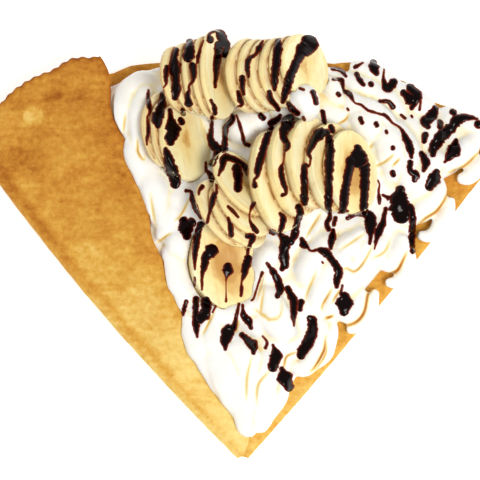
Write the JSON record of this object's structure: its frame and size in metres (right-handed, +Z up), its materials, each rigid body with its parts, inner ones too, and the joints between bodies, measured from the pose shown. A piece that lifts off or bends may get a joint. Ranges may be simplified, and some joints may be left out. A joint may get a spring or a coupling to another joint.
{
  "type": "banana chocolate crepe",
  "caption": "Folded crepe wedge opened out flat, filled with piped whipped cream, fans of sliced banana and thick chocolate sauce.",
  "frame": {"origin": "centre of the bounding box at the underside, on the surface that the crepe lies on", "axes": "+Z up out of the shown side, +Y from the wedge's tip to its round rim, +X to the right across the wedge"},
  "size_m": [0.2464, 0.1889, 0.0458],
  "materials": {
    "crepe": "soft browned batter, stands in for food",
    "cream": "soft whipped cream, stands in for food",
    "banana": "moist cut fruit, stands in for food",
    "sauce": "glossy chocolate sauce, stands in for food"
  },
  "bodies": {
    "root": {"crepe": "crepe", "whipped_cream": "cream", "banana_left_1": "banana", "banana_left_2": "banana", "banana_left_3": "banana", "banana_upper_1": "banana", "banana_upper_2": "banana", "banana_upper_3": "banana", "banana_upper_4": "banana", "banana_upper_5": "banana", "banana_top_1": "banana", "banana_top_2": "banana", "banana_top_3": "banana", "banana_top_4": "banana", "banana_top_5": "banana", "banana_top_6": "banana", "banana_right_1": "banana", "banana_right_2": "banana", "banana_right_3": "banana", "banana_right_4": "banana", "banana_right_5": "banana", "banana_middle_1": "banana", "banana_middle_2": "banana", "banana_middle_3": "banana", "banana_middle_4": "banana", "banana_lower_1": "banana", "banana_lower_2": "banana", "banana_lower_3": "banana"}
  },
  "joints": []
}
